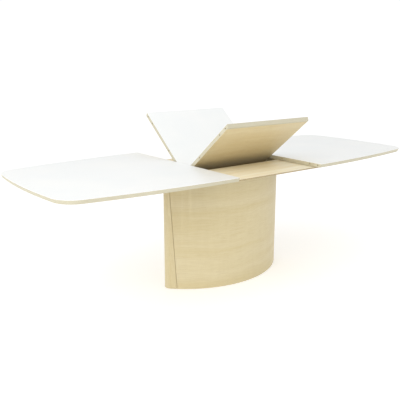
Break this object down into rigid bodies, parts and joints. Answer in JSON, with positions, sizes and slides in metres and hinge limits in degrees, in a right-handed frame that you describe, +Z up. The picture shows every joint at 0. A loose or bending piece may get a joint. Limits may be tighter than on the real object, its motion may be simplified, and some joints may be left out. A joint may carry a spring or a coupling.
{
  "type": "butterfly leaf table",
  "caption": "Boat-shaped extending dining table on a curved closed pedestal, its halves drawn open and a two-wing folding leaf raised in a V between them.",
  "frame": {"origin": "on the floor under the middle of the table", "axes": "+X along the length of the table, +Y across it towards the far wing, +Z up"},
  "size_m": [2.532, 1, 1.0023],
  "materials": {
    "white_laminate": "white laminate, fine matt",
    "pedestal_veneer": "pale maple veneer, matt lacquer",
    "underside_veneer": "pale maple veneer, matt lacquer",
    "solid_edging": "solid maple edging, matt lacquer",
    "platform_ply": "maple-faced plywood, matt lacquer",
    "core_board": "veneered board",
    "beech": "bare beech",
    "rail_aluminium": "extruded, satin anodised",
    "frame_steel": "black powder coat",
    "zinc_block": "die-cast zinc, bare",
    "bright_steel": "zinc plated",
    "black_nylon": "moulded nylon",
    "felt": "pressed felt",
    "glide_plastic": "moulded"
  },
  "bodies": {
    "pedestal": {"back_platform": "platform_ply", "back_shell": "pedestal_veneer", "back_slide_rail": "rail_aluminium", "base_board": "core_board", "collar_board": "core_board", "floor_glides": "glide_plastic", "front_platform": "platform_ply", "front_shell": "pedestal_veneer", "front_slide_rail": "rail_aluminium", "left_cross_arm": "frame_steel", "left_end_post": "pedestal_veneer", "left_guide_column": "frame_steel", "left_platform_bridge": "platform_ply", "platform_felts": "felt", "right_cross_arm": "frame_steel", "right_end_post": "pedestal_veneer", "right_guide_column": "frame_steel", "right_platform_bridge": "platform_ply"},
    "lift": {"centre_link_plate": "frame_steel", "left_carriage": "black_nylon", "left_link_plate": "frame_steel", "lift_beam": "beech", "link_screws": "bright_steel", "right_carriage": "black_nylon", "right_link_plate": "frame_steel"},
    "near_wing": {"near_wing_core": "core_board", "near_wing_dowels": "beech", "near_wing_edge_band": "solid_edging", "near_wing_face": "white_laminate", "near_wing_lippings": "solid_edging", "near_wing_pivot_blocks": "zinc_block", "near_wing_pivot_pins": "bright_steel", "near_wing_veneer": "underside_veneer"},
    "far_wing": {"far_wing_core": "core_board", "far_wing_dowels": "beech", "far_wing_edge_band": "solid_edging", "far_wing_face": "white_laminate", "far_wing_lippings": "solid_edging", "far_wing_pivot_blocks": "zinc_block", "far_wing_pivot_pins": "bright_steel", "far_wing_veneer": "underside_veneer"},
    "left_top": {"left_top_back_runner": "frame_steel", "left_top_core": "core_board", "left_top_dowels": "beech", "left_top_edge_band": "solid_edging", "left_top_face": "white_laminate", "left_top_front_runner": "frame_steel", "left_top_lipping": "solid_edging", "left_top_runner_blocks": "beech", "left_top_runner_screws": "bright_steel"},
    "right_top": {"right_top_back_runner": "frame_steel", "right_top_core": "core_board", "right_top_edge_band": "solid_edging", "right_top_face": "white_laminate", "right_top_front_runner": "frame_steel", "right_top_lipping": "solid_edging", "right_top_runner_blocks": "beech", "right_top_runner_screws": "bright_steel"}
  },
  "joints": [
    {"name": "leaf_lift", "type": "slide", "parent": "pedestal", "child": "lift", "axis": [0, 0, 1], "range_m": [-0.06019, 0.0471]},
    {"name": "near_wing_fold", "type": "hinge", "parent": "lift", "child": "near_wing", "pos_m": [0, -0.012, 0.689], "axis": [-1, 0, 0], "range_deg": [-39.5, 50.5]},
    {"name": "far_wing_fold", "type": "hinge", "parent": "lift", "child": "far_wing", "pos_m": [0, 0.012, 0.689], "axis": [1, 0, 0], "range_deg": [-39.5, 50.5]},
    {"name": "left_top_slide", "type": "slide", "parent": "pedestal", "child": "left_top", "axis": [-1, 0, 0], "range_m": [-0.0058, 0.025]},
    {"name": "right_top_slide", "type": "slide", "parent": "pedestal", "child": "right_top", "axis": [1, 0, 0], "range_m": [-0.0058, 0.025]}
  ],
  "couplings": [
    {"joint": "far_wing_fold", "follows": "near_wing_fold", "ratio": 1},
    {"joint": "leaf_lift", "follows": "near_wing_fold", "m_per_rad": -0.068175}
  ]
}
